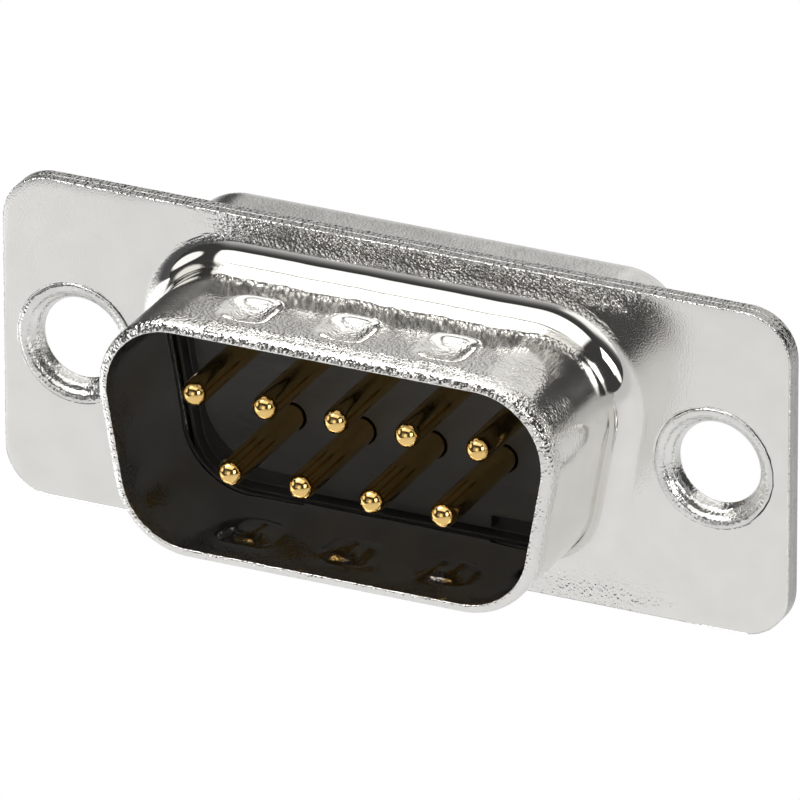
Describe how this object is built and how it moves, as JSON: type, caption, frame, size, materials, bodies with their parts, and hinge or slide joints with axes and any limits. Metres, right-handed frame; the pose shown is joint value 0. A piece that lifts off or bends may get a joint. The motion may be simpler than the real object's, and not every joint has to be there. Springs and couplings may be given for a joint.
{
  "type": "d-sub connector",
  "caption": "D-shaped plug connector with a drilled mounting flange, a drawn metal shell round its pins and solder cups behind.",
  "frame": {"origin": "centre of the flange's front face, midway between its two holes", "axes": "+X along the flange, from contact 1 towards contact 5; -Y the way the plug points; +Z towards the row of five contacts"},
  "size_m": [0.0308, 0.0154, 0.0126],
  "materials": {
    "front_shell": "plated, smooth on the flat and coarse on the drawn bends",
    "rear_shell": "plated satin",
    "insulator": "satin black moulded plastic",
    "contact": "gold-plated, polished"
  },
  "bodies": {
    "root": {"front_shell": "front_shell", "rear_shell": "rear_shell", "front_insulator": "insulator", "rear_insulator": "insulator", "contact_1": "contact", "contact_2": "contact", "contact_3": "contact", "contact_4": "contact", "contact_5": "contact", "contact_6": "contact", "contact_7": "contact", "contact_8": "contact", "contact_9": "contact"}
  },
  "joints": []
}
